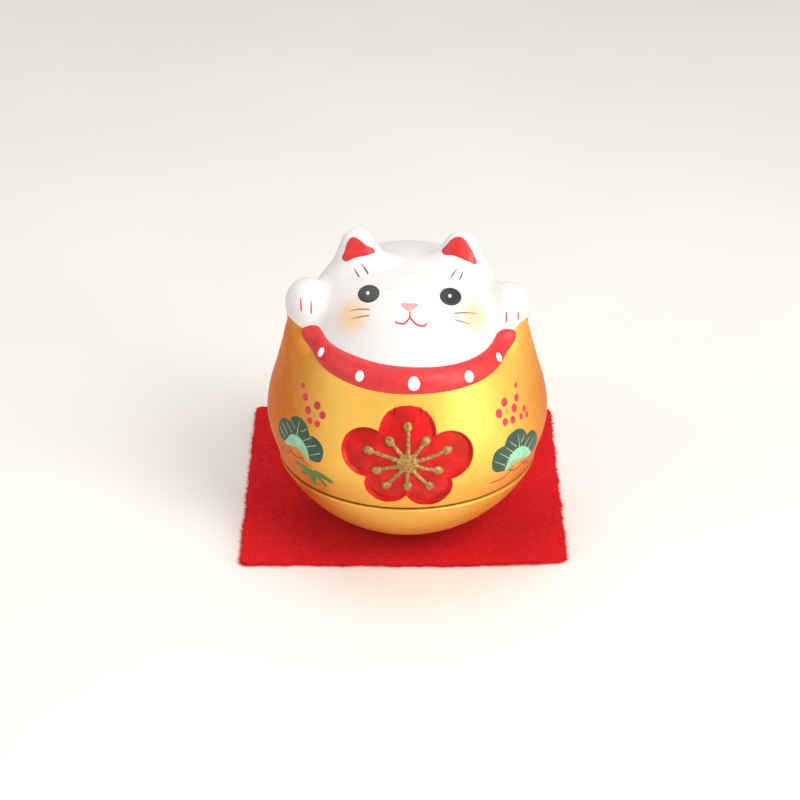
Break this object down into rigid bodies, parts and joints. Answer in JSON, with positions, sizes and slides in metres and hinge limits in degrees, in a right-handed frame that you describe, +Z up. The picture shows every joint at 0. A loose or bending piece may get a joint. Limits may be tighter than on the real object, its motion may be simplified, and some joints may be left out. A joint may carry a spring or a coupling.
{
  "type": "self-righting cat daruma figurine",
  "caption": "Egg-shaped self-righting cat figurine with a weighted round base, collar and plum-blossom emblem, standing on a square felt mat.",
  "frame": {"origin": "on the underside of the felt mat, directly below the doll's own vertical axis", "axes": "+Z up through the doll's crown, the doll faces -Y, its right paw is on the -X side"},
  "size_m": [0.082, 0.0932, 0.0814],
  "materials": {
    "gold_bisque": "satin pearl gold over fired clay, with a white bisque head and red collar",
    "gold_base": "satin pearl gold shaded to deep orange",
    "bond": "dull dark adhesive",
    "iron": "rough casting",
    "plaster": "dry cast plaster",
    "red_felt": "pressed felt with a short nap"
  },
  "bodies": {
    "mat": {"felt_mat": "red_felt"},
    "doll": {"body_shell": "gold_bisque", "base_bowl": "gold_base", "seam_bond": "bond", "ballast_slug": "iron", "ballast_plaster": "plaster"}
  },
  "joints": [
    {"name": "rock", "type": "hinge", "parent": "mat", "child": "doll", "pos_m": [0, 0, 0.0372], "axis": [0, 1, 0], "range_deg": [-60, 60]}
  ]
}
